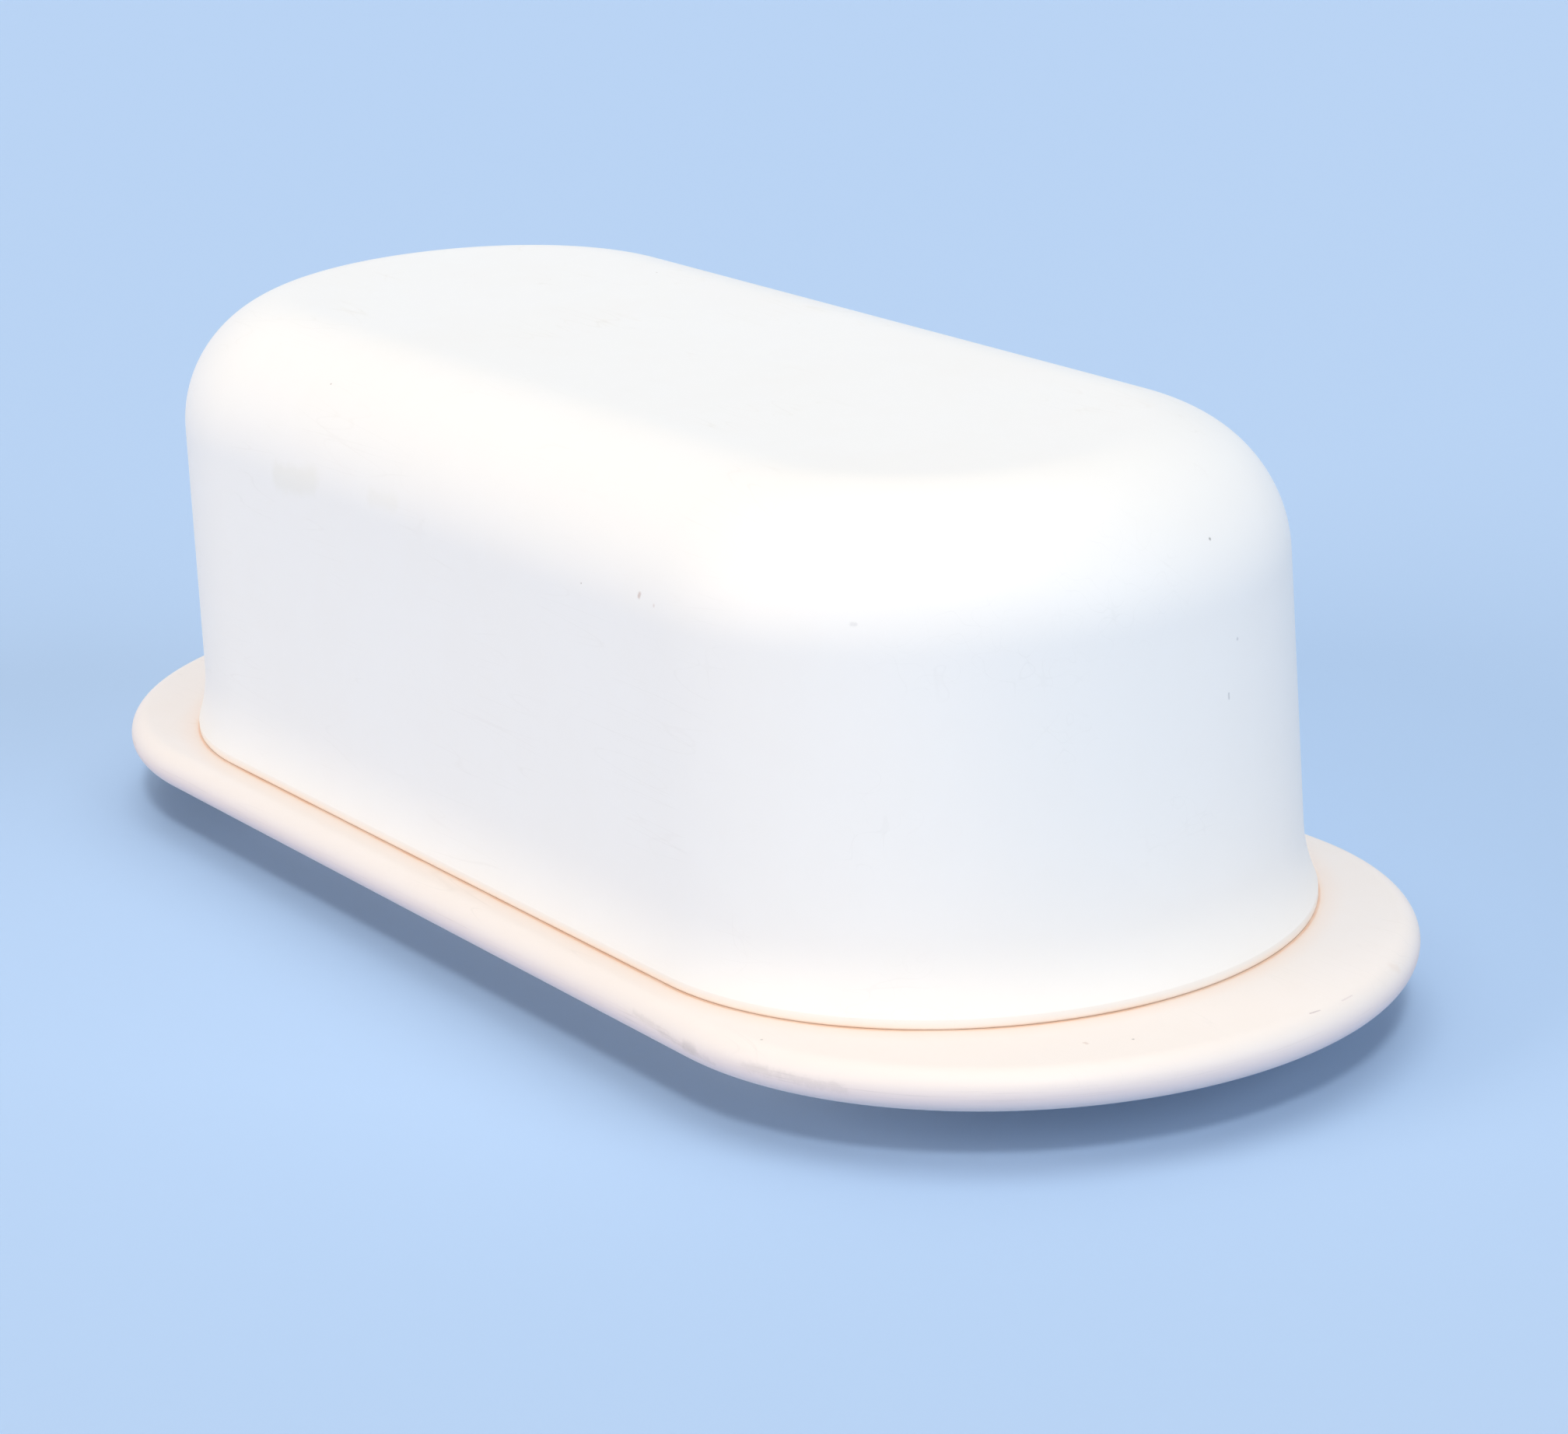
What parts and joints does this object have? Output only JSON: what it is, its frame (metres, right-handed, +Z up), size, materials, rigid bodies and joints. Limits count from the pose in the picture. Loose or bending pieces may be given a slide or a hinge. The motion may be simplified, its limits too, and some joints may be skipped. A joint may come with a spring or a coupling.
{
  "type": "butter dish",
  "caption": "Covered butter dish: an oblong tray with a flat round-edged flange and a dished middle, under a deep straight-sided cover with a splayed foot that lifts off.",
  "frame": {"origin": "middle of the foot ring, on the surface that the dish stands on", "axes": "+X along the dish, +Y across it, +Z up; the dish is the same from either end and either side"},
  "size_m": [0.2016, 0.0842, 0.064],
  "materials": {
    "tray_moulding": "satin moulded melamine, pinkish cream, lightly worn",
    "cover_moulding": "satin moulded melamine, white, lightly worn"
  },
  "bodies": {
    "tray": {"tray": "tray_moulding"},
    "cover": {"cover": "cover_moulding"}
  },
  "joints": [
    {"name": "cover_lift", "type": "slide", "parent": "tray", "child": "cover", "axis": [0, 0, 1], "range_m": [0, 0.09]}
  ]
}
